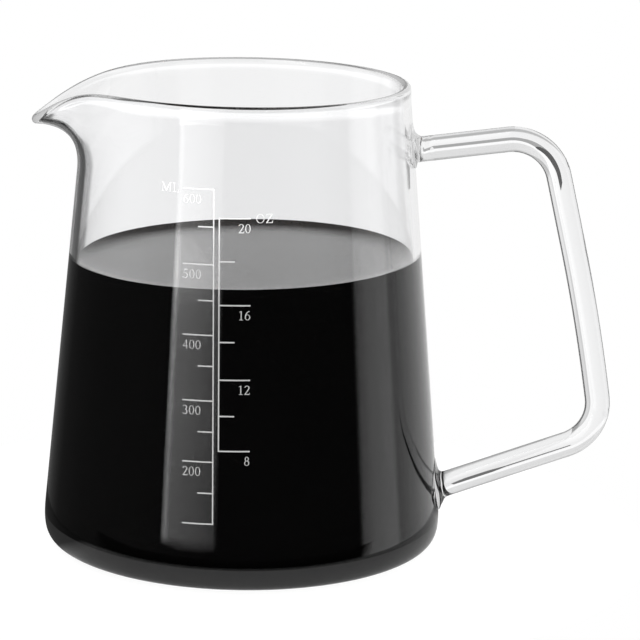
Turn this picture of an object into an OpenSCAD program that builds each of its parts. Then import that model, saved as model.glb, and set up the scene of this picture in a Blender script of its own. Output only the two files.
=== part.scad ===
// Glass measuring jug: a flared vessel with a pulled spout, a bent rod handle
// welded on at two points, and two printed volume scales.
// Frame: origin on the table at the centre of the base, +Z up,
// +X towards the handle, -X towards the spout, printed scales on the -Y side.

/* [Vessel] */
// Height of the rim above the table
height = 119; // [112:0.5:126]
// Outer radius of the wall at the rim
rim_r = 40.8; // [38:0.1:43]
// Growth of the outer radius per millimetre downwards
flare = 0.0924; // [0.08:0.0002:0.105]
// Wall thickness
wall = 2; // [1.6:0.1:2.4]
// Extra thickness of the fire-polished rim
bead = 0.3; // [0:0.05:0.5]
// Height of the inner floor above the table
floor_t = 4.2; // [3:0.1:6]
// Height of the rounded bottom corner
corner_h = 9.5; // [8:0.1:11]
// Width of the rounded bottom corner
corner_w = 6.3; // [5:0.1:7.5]

/* [Spout] */
// How far the lip reaches beyond the rim
spout_reach = 13.6; // [10:0.1:15]
// How far the lip droops below the rim
spout_drop = 9.8; // [7:0.1:11]
// Height of wall drawn out into the lip
spout_depth = 22; // [18:0.5:26]
// Angle from the middle of the lip to half of its reach
spout_half_reach = 17.2; // [14:0.1:20]
// Angle from the middle of the lip to half of its droop
spout_half_drop = 15.2; // [12:0.1:17]

/* [Handle] */
// Diameter of the glass rod
rod_d = 6.4; // [5.6:0.1:7.2]
// Radius of both bends, at the middle of the rod
bend_r = 11.8; // [9:0.1:13]
// Upper corner of the handle, distance from the axis
top_x = 76.4; // [72:0.1:80]
// Upper corner of the handle, height
top_z = 107.6; // [104:0.1:110]
// Lower corner of the handle, distance from the axis
low_x = 92.3; // [88:0.1:95]
// Lower corner of the handle, height
low_z = 30.6; // [28:0.1:34]
// Middle of the bowed leg, distance from the axis
bow_x = 87.2; // [84.6:0.1:88]
// Width of the melted glass around the rod's upper end
upper_weld_w = 2.4; // [1.6:0.1:3]
// Width of the melted glass around the rod's lower end
lower_weld_w = 2.8; // [1.6:0.1:3.4]

/* [Print] */
// Height of the 200 millilitre mark
mark_200 = 32.9; // [30:0.1:35]
// Millilitres in one ounce of the right-hand scale
ounce_ml = 28.4; // [28.4, 29.6]
// How much lower the right-hand scale is printed
ounce_drop = 1.2; // [0:0.1:2]
// Distance of the print's middle from the plane across the handle
print_x = -2.8; // [-5:0.1:5]
// Lean of the print
print_lean = 1; // [-2:0.1:2]
// Distance between the two upright lines
line_gap = 1.36; // [1:0.01:2]
// Width of a printed line
line_w = 0.32; // [0.24:0.02:0.6]
// Length of a long tick
tick_l = 7.6; // [6:0.1:9]
// Height of a numeral
digit_h = 2.2; // [2:0.1:3]
// Thickness of the fired enamel
enamel = 0.12; // [0.08:0.01:0.2]

/* [Hidden] */
$fn = 64;
glass = [0.86, 0.89, 0.9, 0.45];
white = [0.96, 0.96, 0.95];

// ---------- vessel ----------
slope = atan(flare);
out0 = rim_r + flare * height;             // outer wall line carried down to the table
mid_top = height - wall / 2 - bead / 2;    // where the middle of the wall ends under the rim
lip_z = mid_top - spout_depth;             // where the wall starts to lean out into the lip
function out_r(z) = out0 - flare * z;
function in_r(z) = out_r(z) - wall / cos(slope);
// weight of the lip at angle a from its middle
function lip(a, half) = 1 / (1 + pow(sqrt(a * a + 2.9) / half, 3));
function draw(z) = z <= lip_z ? 0 : pow((z - lip_z) / spout_depth, 2.1);
function turn(r, a, z) = [-r * cos(a), -r * sin(a), z];
// middle of the wall at angle a from the lip and height z
function mid(a, z) =
    turn(out_r(z) - wall / 2 * cos(slope) + spout_reach * lip(a, spout_half_reach) * draw(z), a,
         z - wall / 2 * sin(slope) - spout_drop * lip(a, spout_half_drop) * draw(z));
function unit(v) = v / norm(v);
function up(a, z) = unit(mid(a, z) - mid(a, z - 0.3));
function side(a, z) = unit(cross(mid(a + 0.4, z) - mid(a - 0.4, z), up(a, z)));
// half of the wall's thickness, growing into the rim
function half_t(z) = wall / 2 + bead / 2 * pow(max(0, 1 - (mid_top - z) / 4), 2);
function outer(a, z) = mid(a, z) + half_t(z) * side(a, z);
function inner(a, z) = mid(a, z) - half_t(z) * side(a, z);
function cap(a, f) = mid(a, mid_top) + half_t(mid_top) * (cos(f) * side(a, mid_top) + sin(f) * up(a, mid_top));
// conic from p to q that is tangent to both legs of the corner c
function conic(p, c, q, w, t) =
    (pow(1 - t, 2) * p + 2 * w * t * (1 - t) * c + t * t * q) / (pow(1 - t, 2) + 2 * w * t * (1 - t) + t * t);
function outer_corner(t) = conic([out0 - corner_w, 0], [out0, 0], [out_r(corner_h), corner_h], 1.42, t);
floor_r = in_r(floor_t);
function inner_corner(t) = conic([in_r(floor_t + 9), floor_t + 9], [floor_r, floor_t], [floor_r - 9, floor_t], 0.85, t);

// turned lower part: base, rounded corner and wall, with a tongue that runs up inside the drawn part
seam = lip_z - 5;
lap = 0.06;                                // how far the drawn part laps over the turned wall
module turned() {
    rotate_extrude($fn = 180) polygon(concat(
        [[0, 0]],
        [for (t = [0, 0.12, 0.22, 0.3, 0.37, 0.43, 0.49, 0.55, 0.62, 0.7, 0.82, 1]) outer_corner(t)],
        [[out_r(seam + 2), seam + 2], [in_r(seam + 2), seam + 2]],
        [for (t = [0, 0.15, 0.28, 0.4, 0.5, 0.6, 0.72, 0.85, 1]) inner_corner(t)],
        [[0, floor_t + 0.4]]));
}

// drawn upper part: rings up the outer face, over the rim and down the inner face
angles = concat([for (a = [-60:2.5:60]) a], [for (a = [64:4:296]) a]);
steps = [for (i = [0:10]) lip_z + spout_depth * i / 10];
n = len(angles);
rings = concat(
    [for (z = [seam, seam + 3]) [for (a = angles) turn(out_r(z) + lap, a, z)]],
    [for (z = steps) [for (a = angles) outer(a, z)]],
    [for (f = [30:30:150]) [for (a = angles) cap(a, f)]],
    [for (i = [len(steps) - 1:-1:0]) [for (a = angles) inner(a, steps[i])]],
    [for (z = [seam + 3, seam]) [for (a = angles) turn(in_r(z) - lap, a, z)]]);
m = len(rings);
function at(i, j) = (i % m) * n + j % n;
module drawn() {
    polyhedron(
        points = [for (r = rings) for (p = r) p],
        faces = [for (i = [0:m - 1]) for (j = [0:n - 1]) for (k = [0, 1])
            k == 0 ? [at(i, j), at(i + 1, j), at(i + 1, j + 1)] : [at(i, j), at(i + 1, j + 1), at(i, j + 1)]],
        convexity = 6);
}

module glass_body() {
    color(glass) union() {
        turned();
        drawn();
    }
}

// solid cone inside the outer face of the wall, grown by g
module wall_cone(g = 0) {
    translate([0, 0, -2]) cylinder(h = height, r1 = out_r(-2) + g, r2 = out_r(height - 2) + g, $fn = 180);
}

// ---------- handle ----------
// corners of the rod's middle line in the X-Z plane, each with its bend radius
route = [[38, 102, 0], [top_x, top_z, bend_r], [bow_x, 62.1, 500], [low_x, low_z, bend_r], [46, 12.9, 0]];
function flat(i) = [route[i][0], route[i][1]];
function dir(i) = unit(flat(i + 1) - flat(i));
function bearing(v) = atan2(v[1], v[0]);
// angle turned at corner i, and the length that the bend takes off each leg
function bent(i) = let (b = bearing(dir(i)) - bearing(dir(i - 1))) b > 180 ? b - 360 : b < -180 ? b + 360 : b;
function taken(i) = route[i][2] == 0 ? 0 : route[i][2] * tan(abs(bent(i)) / 2);

// straight leg after corner i, run a little way into the bends at its ends
module leg(i) {
    p = flat(i) + dir(i) * (taken(i) - (taken(i) > 0 ? 0.3 : 0));
    q = flat(i + 1) - dir(i) * (taken(i + 1) - (taken(i + 1) > 0 ? 0.3 : 0));
    translate([p[0], p[1], 0]) rotate([0, 0, bearing(dir(i))]) rotate([0, 90, 0])
        cylinder(h = norm(q - p), d = rod_d, $fn = 64);
}
// bend at corner i, where the heated rod is a trace thicker
module elbow(i) {
    s = sign(bent(i));
    p = flat(i) - dir(i - 1) * taken(i);
    c = p + s * route[i][2] * [-dir(i - 1)[1], dir(i - 1)[0]];
    translate([c[0], c[1], 0]) rotate([0, 0, bearing(p - c)])
        rotate_extrude(angle = bent(i), $fn = 96) translate([route[i][2], 0]) circle(d = rod_d + 0.06, $fn = 64);
}
module handle_rod() {
    color(glass) difference() {
        rotate([90, 0, 0]) {
            for (i = [0:3]) leg(i);
            for (i = [1:3]) elbow(i);
        }
        wall_cone();
    }
}

// concave collar of width w around the rod where leg i meets the wall
module collar(p, v, w) {
    r = rod_d / 2;
    translate([p[0], 0, p[1]]) rotate([0, 90 - bearing(v), 0])
        rotate_extrude($fn = 128) difference() {
            translate([r, -4]) square([w, 4 + w * 1.1]);
            translate([r + w * 1.35, w * 1.45]) circle(r = w * 1.39, $fn = 128);
        }
}
// point where the line from p along v meets the wall
function foot(p, v) = let (t = (out_r(p[1]) - p[0]) / (v[0] + flare * v[1])) p + t * v;
module upper_weld() {
    color(glass) difference() {
        collar(foot(flat(1), dir(0)), dir(0), upper_weld_w);
        wall_cone();
    }
}
module lower_weld() {
    color(glass) difference() {
        collar(foot(flat(3), -dir(3)), -dir(3), lower_weld_w);
        wall_cone();
    }
}

// ---------- print ----------
// height at which the vessel holds v millilitres, counted from the 200 mark
function level(v) = let (a = in_r(0), r = in_r(mark_200))
    (a - pow(pow(r, 3) - 3 * flare * (v - 200) * 1000 / PI, 1 / 3)) / flare;
// marks that are printed a little off that height
function trim(v) = v == 100 ? -1.1 : v == 150 ? -0.5 : v == 350 ? 0.6 : v == 600 ? -0.4 : 0;
function mark(v) = level(v) + trim(v);
function ounce(k) = level(k * ounce_ml) - ounce_drop - (k == 16 ? 0.6 : 0);
ml_u = -line_gap / 2;
oz_u = line_gap / 2;

// carries a flat drawing on to the outer face of the wall
module fired() {
    color(white) intersection() {
        rotate([90, 0, 0]) linear_extrude(height = 60)
            translate([print_x, height / 2]) rotate(print_lean) translate([0, -height / 2]) children();
        difference() {
            wall_cone(enamel);
            wall_cone();
        }
    }
}
module bar(x0, x1, z) { translate([min(x0, x1), z - line_w / 2]) square([abs(x1 - x0), line_w]); }
module upright(u, z0, z1) { translate([u - line_w / 2, z0 - line_w / 2]) square([line_w, z1 - z0 + line_w]); }

module ml_scale() {
    fired() {
        upright(ml_u, mark(100), mark(600));
        for (v = [100:100:600]) bar(ml_u - tick_l, ml_u, mark(v));
        for (v = [150:100:550]) bar(ml_u - tick_l / 2, ml_u, mark(v));
    }
}
module oz_scale() {
    fired() {
        upright(oz_u, ounce(8), ounce(20));
        for (k = [8:4:20]) bar(oz_u, oz_u + tick_l, ounce(k));
        for (k = [10:4:18]) bar(oz_u, oz_u + tick_l / 2, ounce(k));
    }
}

// glyphs on a grid one unit high: strokes are thick upright and thin level
stretch = 1.13;                            // widening of the glyphs
pitch = 0.71;                              // step from one numeral to the next
function oval(c, rx, ry, a0, a1, k) = [for (i = [0:k]) let (a = a0 + (a1 - a0) * i / k) c + [rx * cos(a), ry * sin(a)]];
function lead(p, i) = unit(p[min(i + 1, len(p) - 1)] - p[max(i - 1, 0)]);
function nib(v) = 0.022 + 0.026 * abs(v[1]);
module shape(p) { polygon([for (q = p) [stretch * q[0], q[1]]]); }
module pen(p) {
    k = len(p) - 1;
    shape(concat(
        [for (i = [0:k]) let (v = lead(p, i)) p[i] + nib(v) * [-v[1], v[0]]],
        [for (i = [k:-1:0]) let (v = lead(p, i)) p[i] - nib(v) * [-v[1], v[0]]]));
}
module loop(c, rx, ry) {
    difference() {
        shape(oval(c, rx, ry, 0, 345, 23));
        shape(oval(c, rx - 0.09, ry - 0.045, 0, 345, 23));
    }
}
module glyph(g) {
    if (g == 0) loop([0.3, 0.5], 0.26, 0.5);
    if (g == 1) {
        shape([[0.27, 0.03], [0.36, 0.03], [0.36, 1], [0.33, 1], [0.13, 0.9], [0.13, 0.86], [0.27, 0.9]]);
        shape([[0.13, 0], [0.5, 0], [0.5, 0.045], [0.13, 0.045]]);
    }
    if (g == 2) {
        pen(concat(oval([0.28, 0.75], 0.2, 0.225, 165, -20, 12), [[0.33, 0.42], [0.1, 0.06]]));
        shape([[0.05, 0], [0.52, 0], [0.57, 0.2], [0.54, 0.2], [0.48, 0.085], [0.05, 0.085]]);
    }
    if (g == 3) {
        pen(oval([0.26, 0.76], 0.18, 0.215, 155, -85, 14));
        pen(oval([0.24, 0.29], 0.23, 0.265, 80, -150, 14));
    }
    if (g == 4) difference() {
        shape([[0.37, 1], [0.44, 1], [0.44, 0.33], [0.57, 0.33], [0.57, 0.26], [0.44, 0.26], [0.44, 0],
               [0.35, 0], [0.35, 0.26], [0.03, 0.26], [0.03, 0.32]]);
        shape([[0.35, 0.33], [0.1, 0.33], [0.35, 0.84]]);
    }
    if (g == 5) {
        shape([[0.17, 0.91], [0.5, 0.91], [0.55, 1], [0.19, 1]]);
        shape([[0.17, 0.95], [0.215, 0.95], [0.16, 0.58], [0.11, 0.58]]);
        pen(oval([0.23, 0.31], 0.25, 0.285, 125, -150, 14));
    }
    if (g == 6) {
        loop([0.3, 0.31], 0.26, 0.31);
        pen(oval([0.54, 0.33], 0.44, 0.64, 95, 178, 10));
    }
    if (g == 8) {
        loop([0.3, 0.755], 0.2, 0.245);
        loop([0.3, 0.28], 0.245, 0.28);
    }
}
module number(digits, u, z) {
    for (i = [0:len(digits) - 1])
        translate([u + i * pitch * digit_h, z]) scale(digit_h) glyph(digits[i]);
}
module ml_numerals() {
    fired() for (v = [2:6]) number([v, 0, 0], ml_u - tick_l, mark(v * 100) - 1.3 - digit_h);
}
last_w = 0.58 * stretch;                   // width of the last numeral
module oz_numerals() {
    fired() {
        for (k = [12, 16, 20])
            number([floor(k / 10), k % 10], oz_u + tick_l - (pitch + last_w) * digit_h, ounce(k) - 1.3 - digit_h);
        number([8], oz_u + tick_l - last_w * digit_h, ounce(8) - 1.3 - digit_h);
    }
}
module serif(x0, x1, y) { translate([stretch * x0, y]) square([stretch * (x1 - x0), 0.045]); }
module unit_marks() {
    fired() {
        translate([ml_u - tick_l - 0.9 - 1.82 * stretch * digit_h, mark(600) - 1.1]) scale(digit_h) {
            shape([[0.11, 0], [0.155, 0], [0.155, 0.8], [0.475, 0], [0.515, 0], [0.855, 0.82], [0.855, 0], [0.945, 0], [0.945, 1],
                   [0.83, 1], [0.53, 0.27], [0.23, 1], [0.11, 1]]);
            serif(0.02, 0.25, 0); serif(0.77, 1.03, 0); serif(0.02, 0.18, 0.955); serif(0.9, 1.03, 0.955);
            translate([1.14 * stretch, 0]) {
                shape([[0.13, 0], [0.6, 0], [0.68, 0.26], [0.64, 0.26], [0.52, 0.06], [0.22, 0.06], [0.22, 1], [0.13, 1]]);
                serif(0.02, 0.34, 0.955); serif(0.02, 0.2, 0);
            }
        }
        translate([oz_u + tick_l + 1.2, ounce(20) - 1.1]) scale(digit_h) {
            loop([0.42, 0.5], 0.4, 0.5);
            translate([0.94 * stretch, 0])
                shape([[0.02, 0], [0.66, 0], [0.7, 0.26], [0.66, 0.26], [0.56, 0.065], [0.17, 0.065], [0.66, 0.955], [0.66, 1],
                       [0.06, 1], [0.04, 0.76], [0.08, 0.76], [0.16, 0.935], [0.53, 0.935], [0.02, 0.045]]);
        }
    }
}

glass_body();
handle_rod();
upper_weld();
lower_weld();
ml_scale();
ml_numerals();
oz_scale();
oz_numerals();
unit_marks();
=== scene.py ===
import math

import bpy
import numpy as np
from mathutils import Matrix, Vector


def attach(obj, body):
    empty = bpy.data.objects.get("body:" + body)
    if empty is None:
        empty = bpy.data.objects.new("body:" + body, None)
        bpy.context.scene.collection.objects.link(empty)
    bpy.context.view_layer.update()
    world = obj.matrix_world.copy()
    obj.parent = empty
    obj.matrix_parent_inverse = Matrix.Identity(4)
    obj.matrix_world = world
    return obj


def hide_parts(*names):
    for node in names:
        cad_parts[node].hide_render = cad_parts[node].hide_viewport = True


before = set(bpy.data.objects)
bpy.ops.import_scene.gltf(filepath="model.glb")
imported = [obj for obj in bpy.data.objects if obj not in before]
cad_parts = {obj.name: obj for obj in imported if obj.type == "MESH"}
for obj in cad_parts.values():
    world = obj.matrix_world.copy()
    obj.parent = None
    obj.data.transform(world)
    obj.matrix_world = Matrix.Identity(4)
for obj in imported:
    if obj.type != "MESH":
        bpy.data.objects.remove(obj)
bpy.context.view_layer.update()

MM = 0.001
scene = bpy.context.scene

# ------------------------------------------------------------------ vessel dimensions, in millimetres
HEIGHT, RIM_R, FLARE, WALL, BEAD = 119.0, 40.8, 0.0924, 2.0, 0.3
FLOOR_T, CORNER_H, CORNER_W = 4.2, 9.5, 6.3
REACH, DROP, DEPTH, HALF_REACH, HALF_DROP = 13.6, 9.8, 22.0, 17.2, 15.2
ROD_R, BEND_R = 3.2, 11.8
ROUTE = [(38.0, 102.0, 0.0), (76.4, 107.6, BEND_R), (87.2, 62.1, 500.0), (92.3, 30.6, BEND_R), (46.0, 12.9, 0.0)]
EDGE_Z = 74.8        # height at which the liquid meets the glass
CLIMB = 1.7          # how far the liquid climbs the glass
LEAN = 0.0197        # the jug stands a little out of plumb: the liquid is higher on the handle's side
SKIN = 0.02          # the glass lies this far under the fired print

slope = math.atan(FLARE)
out0 = RIM_R + FLARE * HEIGHT
mid_top = HEIGHT - WALL / 2 - BEAD / 2
lip_z = mid_top - DEPTH


def out_r(z):
    return out0 - FLARE * z


def in_r(z):
    return out_r(z) - WALL / math.cos(slope)


# ------------------------------------------------------------------ mesh helpers
def grid_mesh(name, rings, first_pole=None, last_pole=None, closed=True):
    """Quads between rings of equal length, with a fan to a pole at either end."""
    n = len(rings[0])
    verts = [tuple(p) for r in rings for p in r]
    faces = []
    for i in range(len(rings) - 1):
        for j in range(n if closed else n - 1):
            k = (j + 1) % n
            faces.append((i * n + j, i * n + k, (i + 1) * n + k, (i + 1) * n + j))
    if first_pole is not None:
        verts.append(tuple(first_pole))
        c = len(verts) - 1
        faces += [(c, (j + 1) % n, j) for j in range(n)]
    if last_pole is not None:
        verts.append(tuple(last_pole))
        c, b = len(verts) - 1, (len(rings) - 1) * n
        faces += [(c, b + j, b + (j + 1) % n) for j in range(n)]
    mesh = bpy.data.meshes.new(name)
    mesh.from_pydata([(x * MM, y * MM, z * MM) for x, y, z in verts], [], faces)
    mesh.validate()
    mesh.update()
    mesh.polygons.foreach_set("use_smooth", [True] * len(mesh.polygons))
    obj = bpy.data.objects.new(name, mesh)
    scene.collection.objects.link(obj)
    return obj


def outward(obj):
    """Turns every face of a closed mesh outwards."""
    import bmesh
    bm = bmesh.new()
    bm.from_mesh(obj.data)
    bmesh.ops.recalc_face_normals(bm, faces=bm.faces)
    bm.to_mesh(obj.data)
    bm.free()
    obj.data.update()
    return obj


def conic(p, c, q, w, t):
    p, c, q = np.array(p), np.array(c), np.array(q)
    return ((1 - t) ** 2 * p + 2 * w * t * (1 - t) * c + t * t * q) / ((1 - t) ** 2 + 2 * w * t * (1 - t) + t * t)


# ------------------------------------------------------------------ vessel
ANG = np.array([a for a in np.arange(-60.0, 60.0, 1.0)] + [a for a in np.arange(60.0, 300.0, 2.0)])


def lip(a, half):
    a = np.where(a > 180, a - 360, a)
    return 1 / (1 + (np.sqrt(a * a + 2.9) / half) ** 3)


def draw(z):
    return 0.0 if z <= lip_z else ((z - lip_z) / DEPTH) ** 2.1


def turn(r, a, z):
    a = np.radians(a)
    return np.stack([-r * np.cos(a), -r * np.sin(a), np.broadcast_to(z, a.shape)], -1)


def mid(a, z):
    r = out_r(z) - WALL / 2 * math.cos(slope) + REACH * lip(a, HALF_REACH) * draw(z)
    h = z - WALL / 2 * math.sin(slope) - DROP * lip(a, HALF_DROP) * draw(z)
    return turn(r, a, h)


def unit(v):
    return v / np.linalg.norm(v, axis=-1, keepdims=True)


def rise(a, z):
    return unit(mid(a, z) - mid(a, z - 0.2))


def side(a, z):
    return unit(np.cross(mid(a + 0.3, z) - mid(a - 0.3, z), rise(a, z)))


def half_t(z):
    return WALL / 2 + BEAD / 2 * max(0.0, 1 - (mid_top - z) / 4) ** 2


def outer(a, z):
    return mid(a, z) + (half_t(z) - SKIN) * side(a, z)


def inner(a, z):
    return mid(a, z) - half_t(z) * side(a, z)


def cap(a, f):
    f = math.radians(f)
    return mid(a, mid_top) + half_t(mid_top) * (math.cos(f) * side(a, mid_top) + math.sin(f) * rise(a, mid_top))


def inner_corner(t):
    fr = in_r(FLOOR_T)
    return conic((in_r(FLOOR_T + 9), FLOOR_T + 9), (fr, FLOOR_T), (fr - 9, FLOOR_T), 0.85, t)


steps = list(np.linspace(CORNER_H + 6, lip_z - 4, 14)) + list(np.linspace(lip_z - 2, mid_top, 46))
rings = []
for r in (8, 16, 24, 32, 38, 42, 44):
    rings.append(turn(r, ANG, 0.0))
for t in np.linspace(0, 1, 26):
    p = conic((out0 - CORNER_W, 0), (out0, 0), (out_r(CORNER_H), CORNER_H), 1.42, t)
    rings.append(turn(p[0] - SKIN, ANG, p[1]))
for z in steps:
    rings.append(outer(ANG, z))
for f in np.linspace(12, 168, 13):
    rings.append(cap(ANG, f))
for z in reversed(steps):
    rings.append(inner(ANG, z))
for t in np.linspace(0, 1, 18):
    p = inner_corner(t)
    rings.append(turn(p[0], ANG, p[1]))
for r in (36, 30, 24, 16, 8):
    rings.append(turn(r, ANG, FLOOR_T + 0.4 * (1 - r / 40.4)))
body = outward(grid_mesh("glass_vessel", rings, (0, 0, 0), (0, 0, FLOOR_T + 0.4)))

# ------------------------------------------------------------------ handle: a bent rod that spreads into the wall at both ends
pts = [np.array(p[:2]) for p in ROUTE]
dirs = [unit(pts[i + 1] - pts[i]) for i in range(4)]


def bent(i):
    a = math.atan2(dirs[i][1], dirs[i][0]) - math.atan2(dirs[i - 1][1], dirs[i - 1][0])
    return (a + math.pi) % (2 * math.pi) - math.pi


def taken(i):
    return ROUTE[i][2] * math.tan(abs(bent(i)) / 2) if ROUTE[i][2] else 0.0


def foot(p, v):
    """Distance along v from p to the wall's outer face."""
    return (out_r(p[1]) - p[0]) / (v[0] + FLARE * v[1])


line = []           # points of the rod's middle line with their headings
start = pts[1] + foot(pts[1], dirs[0]) * dirs[0]
end = pts[3] + foot(pts[3], -dirs[3]) * -dirs[3]
UP_F, LOW_F = 4.6, 6.2      # length of rod that spreads into the wall


def straight(p, q, v, step=1.2, skip=False):
    k = max(2, int(np.linalg.norm(q - p) / step))
    for i in range(1 if skip else 0, k + 1):
        line.append((p + (q - p) * i / k, v))


def arc(i, k):
    p, v = pts[i] - dirs[i - 1] * taken(i), dirs[i - 1]
    s = math.copysign(1, bent(i))
    c = p + s * ROUTE[i][2] * np.array([-v[1], v[0]])
    for j in range(1, k + 1):
        a = bent(i) * j / k
        ca, sa = math.cos(a), math.sin(a)
        rot = np.array([[ca, -sa], [sa, ca]])
        line.append((c + rot @ (p - c), rot @ v))


straight(start + UP_F * dirs[0], pts[1] - dirs[0] * taken(1), dirs[0])
arc(1, 28)
straight(pts[1] + dirs[1] * taken(1), pts[2] - dirs[1] * taken(2), dirs[1], skip=True)
arc(2, 16)
straight(pts[2] + dirs[2] * taken(2), pts[3] - dirs[2] * taken(3), dirs[2], skip=True)
arc(3, 28)
straight(pts[3] + dirs[3] * taken(3), end - LOW_F * dirs[3], dirs[3], skip=True)

SIDES = 56
PHI = np.linspace(0, 2 * math.pi, SIDES, endpoint=False)


def rod_ring(p, v, r):
    nrm = np.array([-v[1], 0, v[0]])      # in the plane of the handle, to the left of the heading
    nx = np.array([-v[1], v[0]])
    out = []
    for f in PHI:
        x, z = p + r * math.cos(f) * nx
        out.append((x, r * math.sin(f), z))
    return np.array(out)


def wall_hit(p, v3, gap):
    """Point where the line from p along v3 meets the outer face, sunk by gap."""
    k = out0 - gap - FLARE * p[2]
    a = v3[0] ** 2 + v3[1] ** 2 - (FLARE * v3[2]) ** 2
    b = 2 * (p[0] * v3[0] + p[1] * v3[1] + k * FLARE * v3[2])
    c = p[0] ** 2 + p[1] ** 2 - k * k
    t = (-b - math.sqrt(b * b - 4 * a * c)) / (2 * a)
    return p + t * v3


def flare_rings(p, v, length, shape, lump, puddle, k=26):
    """Rings from the rod's full round down into the wall, for a rod whose middle line comes to p along v out of the wall.
    shape gives, for a direction across the rod, how far the melt reaches along the rod and along the wall."""
    v3 = np.array([v[0], 0, v[1]])
    nx = np.array([-v[1], 0, v[0]])
    ny = np.array([0, 1.0, 0])
    base = p - length * v                    # on the wall: v points away from the wall
    base3 = np.array([base[0], 0, base[1]])
    grid = []
    for f in PHI:
        d = math.cos(f) * nx + math.sin(f) * ny
        along, s = shape(d)
        first = base3 + length * v3 + ROD_R * d
        corner = wall_hit(base3 + 12 * v3 + ROD_R * d, -v3, SKIN)
        top = corner + along * v3
        foot_p = wall_hit(base3 + 12 * v3 + (ROD_R + s) * d, -v3, SKIN + 0.08)
        col = [first + (top - first) * i / 3 for i in range(3)]
        edge = puddle * (1 - 0.95 * max(0.0, d[2]) - 0.75 * max(0.0, -d[2]) ** 3)
        for i in range(k + 1):
            t = 1 - (1 - i / k) ** 1.5
            q = (1 - t) ** 2 * top + 2 * t * (1 - t) * corner + t * t * foot_p
            h = min(1.0, max(0.0, (t - 0.25) / 0.45))
            roll = max(0.0, 1 - (max(0.0, t - 0.72) / 0.28) ** 6) ** 0.4
            q = q + edge * h * h * (3 - 2 * h) * roll * unit(np.array([q[0], q[1], 0.09 * math.hypot(q[0], q[1])]))
            w = math.sin(math.pi * t) ** 2 * lump
            q = q + w * d * (math.sin(3 * f + 1.3 + 5 * t) + 0.7 * math.sin(5 * f - 2.1 + 9 * t) + 0.6 * math.sin(2 * f + 0.5 - 11 * t))
            col.append(q)
        col.append(wall_hit(base3 + 12 * v3 + (ROD_R + s - 0.3) * d, -v3, 0.45))
        for g in (0.66, 0.33):
            col.append(wall_hit(base3 + 12 * v3 + (ROD_R + s - 0.3) * g * d, -v3, 0.6))
        grid.append(col)
    grid = np.array(grid)                    # sides, rings, 3
    pole = wall_hit(base3 + 12 * v3, -v3, 0.6)
    return [grid[:, i] for i in range(grid.shape[1])], pole


def up_shape(d):
    u, w = max(0.0, d[2]), max(0.0, -d[2])
    return 2.2 + 0.6 * u - 1.0 * w, 3.6 + 0.5 * u - 2.2 * w


def low_shape(d):
    u, w = max(0.0, d[2]), max(0.0, -d[2])
    return 3.0 - 0.6 * u + 1.6 * w, 3.0 + 1.3 * u - 0.5 * w


up_rings, up_pole = flare_rings(start + UP_F * dirs[0], dirs[0], UP_F, up_shape, 0.1, 1.0)
low_rings, low_pole = flare_rings(end - LOW_F * dirs[3], -dirs[3], LOW_F, low_shape, 0.08, 1.5)
# the lower rings are counted the other way round the rod, so that both ends run with the sweep
low_rings = [np.roll(r[::-1], SIDES // 2 + 1, axis=0) for r in low_rings]
tube = [rod_ring(p, v, ROD_R) for p, v in line]
rings = list(reversed(up_rings))[:-1] + tube + low_rings[1:]
handle = outward(grid_mesh("handle", rings, up_pole, low_pole))

# ------------------------------------------------------------------ liquid: meets the inner wall, with a raised edge
SINK = 0.05
CAPIL = 2.7          # capillary length of water
FILL = EDGE_Z - CLIMB


def liquid_r(z):
    return in_r(z) + SINK


def away(h):
    """Distance from the wall at which the surface stands h above its level."""
    def g(y):
        return CAPIL * (math.acosh(2 * CAPIL / y) - math.sqrt(4 - (y / CAPIL) ** 2))
    return g(h) - g(CLIMB)


rings = []
for r in (8, 16, 24, 30, 36):
    rings.append(turn(r, ANG, FLOOR_T + 0.4 * (1 - r / 40.4) - SINK))
for t in reversed(np.linspace(0, 1, 18)):
    p = inner_corner(t)
    rings.append(turn(p[0] + SINK * (1 - t), ANG, p[1] - SINK * t))
for z in np.linspace(FLOOR_T + 14, EDGE_Z, 24):
    rings.append(turn(liquid_r(z), ANG, z))
SIDE_RINGS = len(rings)
for f in (0.94, 0.87, 0.79, 0.7, 0.61, 0.52, 0.43, 0.34, 0.26, 0.18, 0.12, 0.07, 0.035, 0.015):
    rings.append(turn(liquid_r(EDGE_Z) - away(f * CLIMB), ANG, FILL + f * CLIMB))
for r in (24, 16, 8):
    rings.append(turn(r, ANG, FILL))
for ring in rings:
    for p in ring:
        tip = LEAN * p[0] * min(1, max(0, (p[2] - 50) / 20))
        k = liquid_r(p[2] + tip) / liquid_r(p[2])
        p[0], p[1], p[2] = p[0] * k, p[1] * k, p[2] + tip
liquid = outward(grid_mesh("coffee", rings, (0, 0, FLOOR_T + 0.4 - SINK), (0, 0, FILL)))


# ------------------------------------------------------------------ materials
def new_material(name):
    m = bpy.data.materials.new(name)
    m.use_nodes = True
    t = m.node_tree
    t.nodes.clear()
    out = t.nodes.new("ShaderNodeOutputMaterial")
    bsdf = t.nodes.new("ShaderNodeBsdfPrincipled")
    t.links.new(bsdf.outputs["BSDF"], out.inputs["Surface"])
    return m, t, bsdf


def noise(t, scale, detail, coord, rough=0.5):
    n = t.nodes.new("ShaderNodeTexNoise")
    n.inputs["Scale"].default_value = scale
    n.inputs["Detail"].default_value = detail
    n.inputs["Roughness"].default_value = rough
    t.links.new(coord, n.inputs["Vector"])
    return n


def ramp(t, fac, lo, hi, a, b):
    """Maps fac from lo..hi to a..b."""
    r = t.nodes.new("ShaderNodeMapRange")
    r.inputs["From Min"].default_value = lo
    r.inputs["From Max"].default_value = hi
    r.inputs["To Min"].default_value = a
    r.inputs["To Max"].default_value = b
    t.links.new(fac, r.inputs["Value"])
    return r.outputs["Result"]


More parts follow.
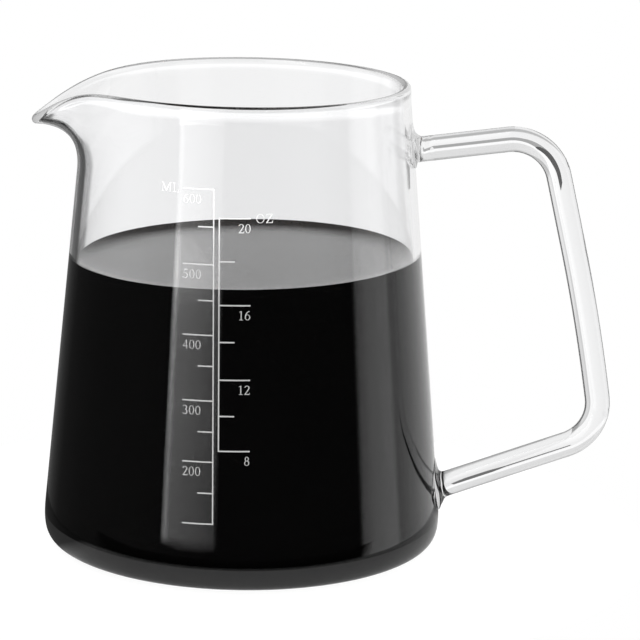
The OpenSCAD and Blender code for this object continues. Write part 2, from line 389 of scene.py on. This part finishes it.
def glass_material(name, wave, melt=0.0):
    m, t, b = new_material(name)
    b.inputs["Base Color"].default_value = (0.985, 0.986, 0.99, 1)
    b.inputs["Transmission Weight"].default_value = 1.0
    b.inputs["IOR"].default_value = 1.47
    b.inputs["Roughness"].default_value = 0.0
    tc = t.nodes.new("ShaderNodeTexCoord")
    n = noise(t, 70.0, 2.0, tc.outputs["Object"])
    bump = t.nodes.new("ShaderNodeBump")
    bump.inputs["Strength"].default_value = wave
    bump.inputs["Distance"].default_value = 0.0004
    t.links.new(n.outputs["Fac"], bump.inputs["Height"])
    t.links.new(bump.outputs["Normal"], b.inputs["Normal"])
    if melt:
        # the upper bead is folded where it was pressed on to the wall
        apart = t.nodes.new("ShaderNodeSeparateXYZ")
        t.links.new(tc.outputs["Object"], apart.inputs["Vector"])
        where = t.nodes.new("ShaderNodeMath")
        where.operation = "MULTIPLY"
        t.links.new(ramp(t, apart.outputs["X"], 0.0455, 0.048, melt, 0.0), where.inputs[0])
        t.links.new(ramp(t, apart.outputs["Z"], 0.07, 0.08, 0.0, 1.0), where.inputs[1])
        folds = t.nodes.new("ShaderNodeBump")
        folds.inputs["Distance"].default_value = 0.001
        t.links.new(where.outputs[0], folds.inputs["Strength"])
        t.links.new(noise(t, 330.0, 1.0, tc.outputs["Object"]).outputs["Fac"], folds.inputs["Height"])
        t.links.new(bump.outputs["Normal"], folds.inputs["Normal"])
        t.links.new(folds.outputs["Normal"], b.inputs["Normal"])
    return m


glass = glass_material("clear_glass", 0.03)
rod_glass = glass_material("rod_glass", 0.05, 0.7)

enamel, t, b = new_material("white_enamel")
tc = t.nodes.new("ShaderNodeTexCoord")
n = noise(t, 900.0, 3.0, tc.outputs["Object"])
b.inputs["Roughness"].default_value = 0.55
mixc = t.nodes.new("ShaderNodeMix")
mixc.data_type = "RGBA"
mixc.inputs["A"].default_value = (0.76, 0.76, 0.755, 1)
mixc.inputs["B"].default_value = (0.86, 0.86, 0.855, 1)
t.links.new(n.outputs["Fac"], mixc.inputs["Factor"])
# painted light: towards the top of the scales, above the liquid, the print is made whiter and more opaque, standing in
# for light shining through it from behind
tall = t.nodes.new("ShaderNodeSeparateXYZ")
t.links.new(tc.outputs["Object"], tall.inputs["Vector"])
t.links.new(ramp(t, tall.outputs["Z"], 0.083, 0.093, 0.33, 0.6), b.inputs["Alpha"])
painted_backlight = t.nodes.new("ShaderNodeMix")
painted_backlight.data_type = "RGBA"
t.links.new(ramp(t, tall.outputs["Z"], 0.07, 0.093, 0.0, 1.0), painted_backlight.inputs["Factor"])
t.links.new(mixc.outputs["Result"], painted_backlight.inputs["A"])
painted_backlight.inputs["B"].default_value = (1, 1, 1, 1)
t.links.new(painted_backlight.outputs["Result"], b.inputs["Base Color"])

coffee_top, t, b = new_material("coffee_surface")
b.inputs["Base Color"].default_value = (0.005, 0.003, 0.002, 1)
b.inputs["Roughness"].default_value = 0.02
b.inputs["IOR"].default_value = 1.333
tc = t.nodes.new("ShaderNodeTexCoord")
n = noise(t, 25.0, 1.0, tc.outputs["Object"])
bump = t.nodes.new("ShaderNodeBump")
bump.inputs["Strength"].default_value = 0.02
bump.inputs["Distance"].default_value = 0.0005
t.links.new(n.outputs["Fac"], bump.inputs["Height"])
t.links.new(bump.outputs["Normal"], b.inputs["Normal"])

coffee_side, t, b = new_material("coffee_body")
b.inputs["Base Color"].default_value = (0.0025, 0.002, 0.0018, 1)
b.inputs["Roughness"].default_value = 0.6
b.inputs["Specular IOR Level"].default_value = 0.0
tc = t.nodes.new("ShaderNodeTexCoord")
n = noise(t, 40.0, 2.0, tc.outputs["Object"])
mixc = t.nodes.new("ShaderNodeMix")
mixc.data_type = "RGBA"
mixc.inputs["A"].default_value = (0.0011, 0.00105, 0.00105, 1)
mixc.inputs["B"].default_value = (0.0016, 0.0015, 0.0015, 1)
t.links.new(n.outputs["Fac"], mixc.inputs["Factor"])
t.links.new(mixc.outputs["Result"], b.inputs["Base Color"])

body.data.materials.append(glass)
handle.data.materials.append(rod_glass)

# the rod is melted on to the wall: no skin is seen where the two meet
seam, t, b = new_material("melted_seam")
b.inputs["Base Color"].default_value = (1, 1, 1, 1)
b.inputs["Alpha"].default_value = 0.0


def boolean(obj, tool, operation):
    m = obj.modifiers.new("cut", "BOOLEAN")
    m.operation, m.object, m.solver, m.material_mode = operation, tool, "MANIFOLD", "TRANSFER"
    mesh = bpy.data.meshes.new_from_object(obj.evaluated_get(bpy.context.evaluated_depsgraph_get()))
    obj.modifiers.remove(m)
    return mesh


def faces_of(mesh, material):
    return [[tuple(mesh.vertices[i].co) for i in p.vertices] for p in mesh.polygons if mesh.materials[p.material_index] == material]


def remake(obj, parts, materials):
    """Gives obj the faces of each part, with that part's material, welded where they meet."""
    import bmesh
    bm = bmesh.new()
    for index, faces in enumerate(parts):
        for f in faces:
            face = bm.faces.new([bm.verts.new(co) for co in f])
            face.material_index, face.smooth = index, True
    bmesh.ops.remove_doubles(bm, verts=bm.verts, dist=2e-7)
    bmesh.ops.dissolve_degenerate(bm, dist=1e-7, edges=bm.edges)
    mesh = bpy.data.meshes.new(obj.name)
    for m in materials:
        mesh.materials.append(m)
    bm.to_mesh(mesh)
    bm.free()
    mesh.validate()
    obj.data = mesh


joined = boolean(body, handle, "UNION")
cut = boolean(handle, body, "DIFFERENCE")
patch = faces_of(cut, glass)
remake(handle, [faces_of(cut, rod_glass), patch], [rod_glass, seam])
remake(body, [faces_of(joined, glass), [f[::-1] for f in patch]], [glass, seam])
liquid.data.materials.append(coffee_side)
liquid.data.materials.append(coffee_top)
top_from = (SIDE_RINGS - 1) * len(ANG)
for p in liquid.data.polygons:
    if min(p.vertices) >= top_from:
        p.material_index = 1

for name in ("ml_scale", "ml_numerals", "oz_scale", "oz_numerals", "unit_marks"):
    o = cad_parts[name]
    o.data.materials.clear()
    o.data.materials.append(enamel)

for piece, slot in ((body, "clear_glass"), (handle, "clear_glass"), (liquid, "coffee")):
    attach(piece, "root")
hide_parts("glass_body")
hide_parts("handle_rod", "upper_weld", "lower_weld")

# ------------------------------------------------------------------ floor
floor_mesh = bpy.data.meshes.new("floor")
FLOOR_R = 0.105
ring = [(FLOOR_R * math.cos(k * math.pi / 48), FLOOR_R * math.sin(k * math.pi / 48), 0) for k in range(96)]
floor_mesh.from_pydata(ring, [], [tuple(range(96))])
floor = bpy.data.objects.new("floor", floor_mesh)
floor.location.z = -0.0001
scene.collection.objects.link(floor)
fm, t, b = new_material("pale_floor")
b.inputs["Base Color"].default_value = (0.25, 0.25, 0.25, 1)
b.inputs["Roughness"].default_value = 0.8
b.inputs["Specular IOR Level"].default_value = 0.0
b.inputs["Emission Color"].default_value = (1, 1, 1, 1)
b.inputs["Emission Strength"].default_value = 0.85
# painted reflection: as mirrored in the glass, the floor near the foot is a glowing ring, dim behind the vessel and
# fading out towards its edge; past that edge it is dark in front of the vessel and lets mirrored rays through elsewhere
tc = t.nodes.new("ShaderNodeTexCoord")
reach = t.nodes.new("ShaderNodeVectorMath")
reach.operation = "LENGTH"
t.links.new(tc.outputs["Object"], reach.inputs[0])
painted_reflection_glow = t.nodes.new("ShaderNodeEmission")
aside = t.nodes.new("ShaderNodeVectorMath")
aside.operation = "DOT_PRODUCT"
aside.inputs[1].default_value = (-0.5, 1, 0)
t.links.new(tc.outputs["Object"], aside.inputs[0])
near = t.nodes.new("ShaderNodeMath")
near.operation = "MULTIPLY"
t.links.new(ramp(t, reach.outputs["Value"], 0.052, 0.072, 0.62, 0.45), near.inputs[0])
t.links.new(ramp(t, aside.outputs["Value"], -0.008, 0.004, 1.0, 0.1), near.inputs[1])
apart = t.nodes.new("ShaderNodeSeparateXYZ")
t.links.new(tc.outputs["Object"], apart.inputs["Vector"])
faded = t.nodes.new("ShaderNodeMath")
faded.operation = "MULTIPLY"
t.links.new(near.outputs[0], faded.inputs[0])
t.links.new(ramp(t, reach.outputs["Value"], 0.072, 0.077, 1.0, 0.02), faded.inputs[1])
t.links.new(faded.outputs[0], painted_reflection_glow.inputs["Strength"])
path = t.nodes.new("ShaderNodeLightPath")
clear = t.nodes.new("ShaderNodeBsdfTransparent")
ends = t.nodes.new("ShaderNodeMixShader")
behind = t.nodes.new("ShaderNodeMath")
behind.operation = "MULTIPLY"
t.links.new(ramp(t, reach.outputs["Value"], 0.072, 0.077, 0.0, 1.0), behind.inputs[0])
t.links.new(ramp(t, apart.outputs["Y"], -0.05, -0.04, 0.0, 1.0), behind.inputs[1])
t.links.new(behind.outputs[0], ends.inputs[0])
t.links.new(painted_reflection_glow.outputs["Emission"], ends.inputs[1])
t.links.new(clear.outputs[0], ends.inputs[2])
either = t.nodes.new("ShaderNodeMixShader")
t.links.new(path.outputs["Is Glossy Ray"], either.inputs[0])
t.links.new(b.outputs["BSDF"], either.inputs[1])
t.links.new(ends.outputs[0], either.inputs[2])
# painted shadow: seen through the glass, the floor under the jug is near black
shade = t.nodes.new("ShaderNodeEmission")
shade.inputs["Strength"].default_value = 0.03
# painted shade: seen through the handle, the floor is painted grey close to the plane of the handle and paler further
# off
off = t.nodes.new("ShaderNodeMath")
off.operation = "ABSOLUTE"
t.links.new(apart.outputs["Y"], off.inputs[0])
painted_band_strength = t.nodes.new("ShaderNodeMath")
painted_band_strength.operation = "MULTIPLY"
t.links.new(ramp(t, off.outputs[0], 0.010, 0.019, 0.38, 0.91), painted_band_strength.inputs[0])
t.links.new(ramp(t, off.outputs[0], 0.035, 0.055, 1.0, 0.92), painted_band_strength.inputs[1])
floor_painted_shade = t.nodes.new("ShaderNodeEmission")
t.links.new(painted_band_strength.outputs[0], floor_painted_shade.inputs["Strength"])
under = t.nodes.new("ShaderNodeMixShader")
t.links.new(ramp(t, reach.outputs["Value"], 0.051, 0.062, 0.0, 1.0), under.inputs[0])
t.links.new(shade.outputs["Emission"], under.inputs[1])
t.links.new(floor_painted_shade.outputs["Emission"], under.inputs[2])
pick = t.nodes.new("ShaderNodeMixShader")
t.links.new(path.outputs["Is Transmission Ray"], pick.inputs[0])
t.links.new(either.outputs[0], pick.inputs[1])
t.links.new(under.outputs[0], pick.inputs[2])
out = [n for n in t.nodes if n.type == "OUTPUT_MATERIAL"][0]
t.links.new(pick.outputs[0], out.inputs["Surface"])
floor_mesh.materials.append(fm)

# ------------------------------------------------------------------ dark cards behind the handle, seen only through the glass: painted shade in the rod
def card(name, corners, shade, faces=None, rod=False):
    """With rod set, the card is seen through the rod but not through the two walls of the vessel."""
    mesh = bpy.data.meshes.new(name)
    mesh.from_pydata([(x * MM, y * MM, z * MM) for x, y, z in corners], [], faces or [tuple(range(len(corners)))])
    m, t, b = new_material(name)
    b.inputs["Base Color"].default_value = (0, 0, 0, 1)
    b.inputs["Specular IOR Level"].default_value = 0.0
    b.inputs["Emission Color"].default_value = (1, 1, 1, 1)
    b.inputs["Emission Strength"].default_value = shade
    if rod:
        depth = t.nodes.new("ShaderNodeLightPath")
        gone = t.nodes.new("ShaderNodeBsdfTransparent")
        either = t.nodes.new("ShaderNodeMixShader")
        t.links.new(ramp(t, depth.outputs["Ray Depth"], 3.4, 3.6, 0.0, 1.0), either.inputs[0])
        t.links.new(b.outputs["BSDF"], either.inputs[1])
        t.links.new(gone.outputs[0], either.inputs[2])
        t.links.new(either.outputs[0], [n for n in t.nodes if n.type == "OUTPUT_MATERIAL"][0].inputs["Surface"])
    mesh.materials.append(m)
    o = bpy.data.objects.new(name, mesh)
    scene.collection.objects.link(o)
    o.visible_camera = o.visible_diffuse = o.visible_glossy = o.visible_shadow = False


card("upper_painted_shade_card", [(44, 60, 87), (69, 60, 90.6), (72, 60, 86.8), (76, 60, 99.8), (44, 60, 95.2)], 0.42, rod=True)
card("bend_painted_shade_card", [(72, 60, 86.8), (75, 60, 83), (84, 60, 83), (84, 60, 93), (78, 60, 101), (76, 60, 99.8)], 0.1, rod=True)
card("lower_painted_shade_card", [(53, 25, 10.6), (57, 25, 10.9), (63, 25, 13.2), (67, 25, 15.6), (84, 25, 22.4), (84, 25, 23.4), (67, 25, 16.9), (63, 25, 16.4), (53, 25, 12.6)], 0.17, rod=True)
# painted shadow of the handle on the floor, seen only through the handle
card("painted_handle_shadow_card", [(53, 6, 0.3), (86, 9, 0.3), (86, 16, 0.3), (53, 10, 0.3)], 0.4)

# painted shade: a dark sheet on the floor behind and beside the vessel, seen only steeply through the rim
arcs = [(r * math.cos(math.radians(a)), r * math.sin(math.radians(a))) for r in (92, 140) for a in range(115, 286, 10)]
card("far_painted_shade_card", [(x, y, 0.25) for x, y in arcs], 0.1, [(k, k + 1, k + 19, k + 18) for k in range(17)])

# painted shade: a dark band round the foot, seen only through the glass, so that what is seen straight across the foot
# under the liquid is dark
around = [(40 * math.cos(k * math.pi / 24), 40 * math.sin(k * math.pi / 24)) for k in range(48)]
card("foot_painted_shade_card", [(x, y, z) for z in (0.3, 3.9) for x, y in around], 0.02, [(k, (k + 1) % 48, 48 + (k + 1) % 48, 48 + k) for k in range(48)])

# ------------------------------------------------------------------ studio light
world = bpy.data.worlds.new("studio")
scene.world = world
world.use_nodes = True
t = world.node_tree
t.nodes.clear()
out = t.nodes.new("ShaderNodeOutputWorld")
tc = t.nodes.new("ShaderNodeTexCoord")
sep = t.nodes.new("ShaderNodeSeparateXYZ")
t.links.new(tc.outputs["Generated"], sep.inputs["Vector"])


def math_node(op, a, b=None, clamp=False):
    n = t.nodes.new("ShaderNodeMath")
    n.operation = op
    n.use_clamp = clamp
    for i, v in enumerate((a, b)):
        if v is None:
            continue
        if isinstance(v, (int, float)):
            n.inputs[i].default_value = v
        else:
            t.links.new(v, n.inputs[i])
    return n.outputs[0]


neg_y = math_node("MULTIPLY", sep.outputs["Y"], -1.0)
azim = math_node("ARCTAN2", sep.outputs["X"], neg_y)             # 0 towards the scales, a quarter turn towards the handle
azim = math_node("ADD", math_node("DIVIDE", azim, 2 * math.pi), 0.5)     # 0..1 from -180 to 180 degrees


def azimuth_ramp(stops):
    r = t.nodes.new("ShaderNodeValToRGB")
    e = r.color_ramp.elements
    while len(e) > 1:
        e.remove(e[-1])
    for i, (deg, v) in enumerate(stops):
        pos = (deg + 180) / 360
        el = e[0] if i == 0 else e.new(pos)
        el.position = pos
        el.color = (v, v, v, 1)
    t.links.new(azim, r.inputs["Fac"])
    return r.outputs["Color"]


def background(color, strength):
    n = t.nodes.new("ShaderNodeBackground")
    if isinstance(color, tuple):
        n.inputs["Color"].default_value = color
    else:
        t.links.new(color, n.inputs["Color"])
    n.inputs["Strength"].default_value = strength
    return n.outputs[0]


def mix(fac, a, b):
    n = t.nodes.new("ShaderNodeMixShader")
    t.links.new(fac, n.inputs[0])
    t.links.new(a, n.inputs[1])
    t.links.new(b, n.inputs[2])
    return n.outputs[0]


elev = math_node("ADD", math_node("DIVIDE", math_node("ARCSINE", sep.outputs["Z"]), math.pi), 0.5)


# the same, in planes that lean a little, as level lines on the vessel do when they mirror
lean = math_node("ADD", elev, math_node("ADD", math_node("MULTIPLY", azim, -0.038), 0.01794))


def elevation_ramp(stops, coord=elev):
    r = t.nodes.new("ShaderNodeValToRGB")
    e = r.color_ramp.elements
    while len(e) > 1:
        e.remove(e[-1])
    for i, (deg, v) in enumerate(stops):
        pos = (deg + 90) / 180
        el = e[0] if i == 0 else e.new(pos)
        el.position = pos
        el.color = (v, v, v, 1)
    t.links.new(coord, r.inputs["Fac"])
    return r.outputs["Color"]


def times(a, b, blend="MULTIPLY"):
    n = t.nodes.new("ShaderNodeMix")
    n.data_type = "RGBA"
    n.blend_type = blend
    n.inputs["Factor"].default_value = 1.0
    t.links.new(a, n.inputs["A"])
    t.links.new(b, n.inputs["B"])
    return n.outputs["Result"]


# what shows through the walls: a table, a brighter backdrop above it, a dark ceiling, and dark uprights between the windows
walls = times(
    azimuth_ramp([
        (-180, 0.98), (-178.6, 0.97), (-177.2, 0.985), (-175.8, 0.97), (-174.4, 0.965), (-172.9, 1.03), (-171.5, 1.06), (-170.1, 1.09), (-163, 1.09), (-161, 0.12), (-142, 0.11), (-138, 1.0), (-118, 1.0), (-112, 0.12), (-104, 1.0), (-84, 1.0),
        (-76, 0.15), (-58, 0.15), (-50, 0.7), (-20, 0.7), (-12, 0.45), (28, 0.45), (36, 1.0), (54, 1.0), (60, 0.15), (76, 0.15), (84, 0.85), (160, 1.0), (180, 1.0)]),
    elevation_ramp([(-90, 0.94), (-8.4, 0.94), (-7, 1.18), (-5.6, 1.18), (-4.6, 0.86), (-0.5, 0.86), (1, 0.98), (15, 1.12), (28, 0.8), (40, 0.12), (90, 0.08)]))
# what shows where light turns inside the wall, along the sides of the vessel: a dark upright on the left, a window on the right
edges = times(
    azimuth_ramp([(-180, 0.8), (-174, 0.08), (-141, 0.06), (-135, 0.6), (-90, 0.8), (90, 0.8), (140, 0.86), (180, 0.86)]),
    elevation_ramp([(-90, 0.1), (-42, 0.1), (-34, 1.0), (2, 1.0), (8, 0.1), (90, 0.06)]))
# what shows through the rod
rods = times(
    azimuth_ramp([
        (-180, 0.94), (-170, 0.92), (-155, 0.89), (-144, 0.86), (-125, 0.82), (-108, 0.82), (-98, 1.0), (-70, 1.0), (-60, 0.84), (-35, 0.84), (-30, 0.2), (-20, 0.2),
        (-14, 0.9), (20, 1.0), (70, 1.0), (80, 0.84), (98, 0.84), (102, 0.08), (127, 0.08), (131, 0.74), (146, 0.74), (150, 0.64), (153, 0.64), (156, 1.02), (170, 0.97), (180, 0.94)]),
    elevation_ramp([
        (-90, 0.8), (-58, 0.8), (-52, 0.6), (-46, 0.5), (-38, 0.5), (-33, 1.0), (-6.5, 1.0), (-5.5, 1.15), (-0.5, 1.15), (2, 0.86), (28, 0.86), (40, 0.6), (52, 0.35), (64, 0.18), (90, 0.1)]))
# what mirrors in the glass: a tall soft box on the left of the camera, a broad panel on the right
box = times(
    azimuth_ramp([(-180, 0.0), (-41, 0.0), (-40.6, 5.6), (-38.8, 4.6), (-37.4, 2.5), (-30, 2.1), (-20, 1.6), (-11, 1.0), (-9.5, 0.0), (180, 0.0)]),
    elevation_ramp([(-90, 0.7), (-6.2, 0.72), (-4.5, 0.95), (-2.9, 1.05), (-2.5, 2.0), (-1.6, 2.0), (-1.4, 0.85), (90, 0.85)], lean))
# a dark table edge crosses the foot of the soft box
above = ramp(t, lean, (90 - 7.76) / 180, (90 - 7.3) / 180, 0.0, 1.0)
below = ramp(t, lean, (90 - 14) / 180, (90 - 12) / 180, 1.0, 0.0)
box = times(box, math_node("MAXIMUM", above, below))
panel = azimuth_ramp([
    (-180, 0.1), (-172, 0.1), (-165, 0.16), (-150, 0.11), (-130, 0.05), (-60, 0.06), (-41, 0.05), (-9.5, 0.022),
    (77, 0.022), (80, 0.9), (88, 1.4), (100, 1.5), (106, 1.4), (110, 0.75), (135, 0.9), (180, 0.9)])
mirrored = times(box, panel, "ADD")
path = t.nodes.new("ShaderNodeLightPath")
seen = mix(math_node("LESS_THAN", path.outputs["Ray Depth"], 4.5), background(walls, 1.0), background(edges, 1.0))
seen = mix(math_node("LESS_THAN", path.outputs["Ray Depth"], 3.5), seen, background(rods, 1.0))
# light that turns many times inside the glass ends in an even grey
trapped = mix(math_node("LESS_THAN", path.outputs["Ray Depth"], 4.5), background((1, 1, 1, 1), 0.62), background(mirrored, 1.0))
sky = mix(path.outputs["Is Glossy Ray"], background((1, 1, 1, 1), 0.6), trapped)
sky = mix(path.outputs["Is Transmission Ray"], sky, seen)
sky = mix(path.outputs["Is Camera Ray"], sky, background((1, 1, 1, 1), 1.0))
t.links.new(sky, out.inputs["Surface"])

# ------------------------------------------------------------------ lamp beside the camera, for the print
lamp_data = bpy.data.lights.new("front_lamp", "SUN")
lamp_data.energy = 2.1
lamp_data.use_shadow = False
lamp = bpy.data.objects.new("front_lamp", lamp_data)
lamp.rotation_euler = (math.radians(62), 0, math.radians(-12))
scene.collection.objects.link(lamp)

# ------------------------------------------------------------------ camera
AZ, DIST, CAM_Z, PITCH, YAW, FOCAL, ROLL = math.radians(5.0), 765.79, 240.55, 0.2348, 0.0252, 3070.8, 0.0206
rz = np.array([[math.cos(AZ), -math.sin(AZ), 0], [math.sin(AZ), math.cos(AZ), 0], [0, 0, 1]])
pos = rz @ np.array([0, -DIST, CAM_Z])
fwd = rz @ np.array([math.sin(YAW) * math.cos(PITCH), math.cos(YAW) * math.cos(PITCH), -math.sin(PITCH)])
right = rz @ np.array([math.cos(YAW), -math.sin(YAW), 0])
upv = np.cross(right, fwd)
c, s = math.cos(ROLL), math.sin(ROLL)
right2, up2 = c * right + s * upv, -s * right + c * upv
cam_data = bpy.data.cameras.new("camera")
cam = bpy.data.objects.new("camera", cam_data)
scene.collection.objects.link(cam)
m = Matrix.Identity(4)
for i in range(3):
    m[i][0], m[i][1], m[i][2], m[i][3] = right2[i], up2[i], -fwd[i], pos[i] * MM
cam.matrix_world = m
cam_data.sensor_width = 36.0
cam_data.lens = FOCAL / 640 * 36.0
cam_data.clip_start, cam_data.clip_end = 0.01, 50
scene.camera = cam

scene.view_settings.view_transform = "Standard"
scene.view_settings.look = "None"
scene.cycles.max_bounces = 48
scene.cycles.transmission_bounces = 48
scene.cycles.glossy_bounces = 48
scene.cycles.diffuse_bounces = 4
scene.cycles.caustics_reflective = True
scene.cycles.caustics_refractive = True
scene.cycles.use_denoising = True
scene.cycles.sampling_pattern = "TABULATED_SOBOL"
scene.cycles.use_fast_gi = True
scene.cycles.fast_gi_method = "REPLACE"
scene.cycles.ao_bounces_render = 3
world.light_settings.distance = 0.00001
world.light_settings.ao_factor = 1.0
